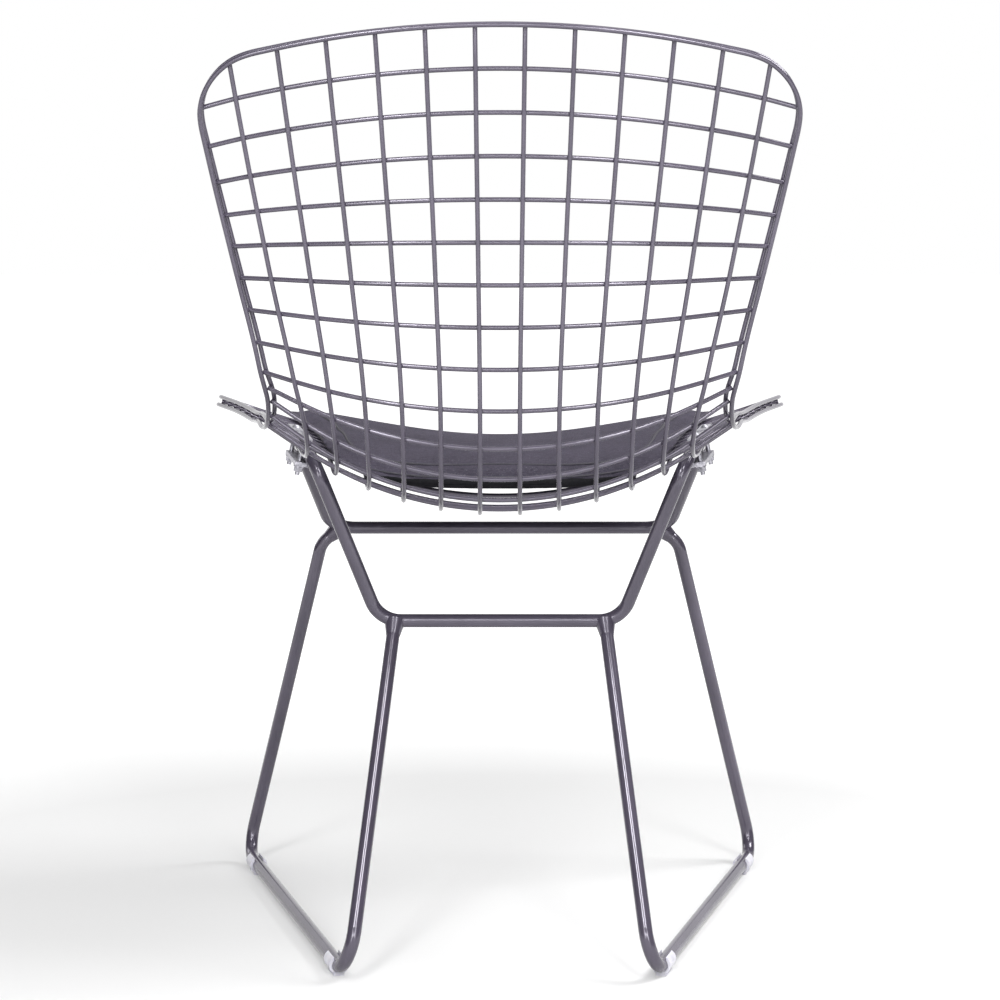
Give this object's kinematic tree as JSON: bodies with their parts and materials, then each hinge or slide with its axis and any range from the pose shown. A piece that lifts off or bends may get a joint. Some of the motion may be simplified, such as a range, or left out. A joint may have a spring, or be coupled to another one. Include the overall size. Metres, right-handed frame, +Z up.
{
  "type": "wire mesh side chair",
  "caption": "Side chair with a dished shell of crossed welded wires, clamped to a bent steel rod sled base, with a loose padded seat cushion.",
  "frame": {"origin": "on the floor, below the middle of the chair's overall width and depth", "axes": "+Z up, -Y towards the front edge of the seat, +X to the left of a person sitting in the chair"},
  "size_m": [0.54, 0.54, 0.7795],
  "materials": {
    "painted_wire": "glossy dark violet-grey powder coat on round steel wire and rod",
    "zinc_steel": "zinc plated flat strap and fasteners",
    "clear_plastic": "translucent whitish moulded plastic",
    "pad_fabric": "finely speckled dark violet-grey woven upholstery",
    "pad_foam": "soft open-cell foam, out of sight inside the cover"
  },
  "bodies": {
    "chair": {"long_wire_01": "painted_wire", "long_wire_02": "painted_wire", "long_wire_03": "painted_wire", "long_wire_04": "painted_wire", "long_wire_05": "painted_wire", "long_wire_06": "painted_wire", "long_wire_07": "painted_wire", "long_wire_08": "painted_wire", "long_wire_09": "painted_wire", "long_wire_10": "painted_wire", "long_wire_11": "painted_wire", "long_wire_12": "painted_wire", "cross_wire_01": "painted_wire", "cross_wire_02": "painted_wire", "cross_wire_03": "painted_wire", "cross_wire_04": "painted_wire", "cross_wire_05": "painted_wire", "cross_wire_06": "painted_wire", "cross_wire_07": "painted_wire", "cross_wire_08": "painted_wire", "cross_wire_09": "painted_wire", "cross_wire_10": "painted_wire", "cross_wire_11": "painted_wire", "cross_wire_12": "painted_wire", "cross_wire_13": "painted_wire", "cross_wire_14": "painted_wire", "cross_wire_15": "painted_wire", "cross_wire_16": "painted_wire", "cross_wire_17": "painted_wire", "cross_wire_18": "painted_wire", "cross_wire_19": "painted_wire", "cross_wire_20": "painted_wire", "cross_wire_21": "painted_wire", "cross_wire_22": "painted_wire", "cross_wire_23": "painted_wire", "cross_wire_24": "painted_wire", "rim_outer": "painted_wire", "rim_inner": "painted_wire", "rear_arch": "painted_wire", "front_arch": "painted_wire", "sled_left": "painted_wire", "sled_right": "painted_wire", "rear_leg_welds": "painted_wire", "front_leg_welds": "painted_wire", "glide_rear_left": "clear_plastic", "glide_rear_right": "clear_plastic", "glide_front_left": "clear_plastic", "glide_front_right": "clear_plastic", "clamp_strap_left": "zinc_steel", "clamp_strap_right": "zinc_steel", "clamp_plates": "zinc_steel", "clamp_bolts": "zinc_steel", "clamp_washers": "zinc_steel", "clamp_nuts": "zinc_steel"},
    "seat_pad": {"pad_cover": "pad_fabric", "pad_foam": "pad_foam"}
  },
  "joints": [
    {"name": "pad_lift", "type": "slide", "parent": "chair", "child": "seat_pad", "axis": [0, 0, 1], "range_m": [0, 0.25]}
  ]
}
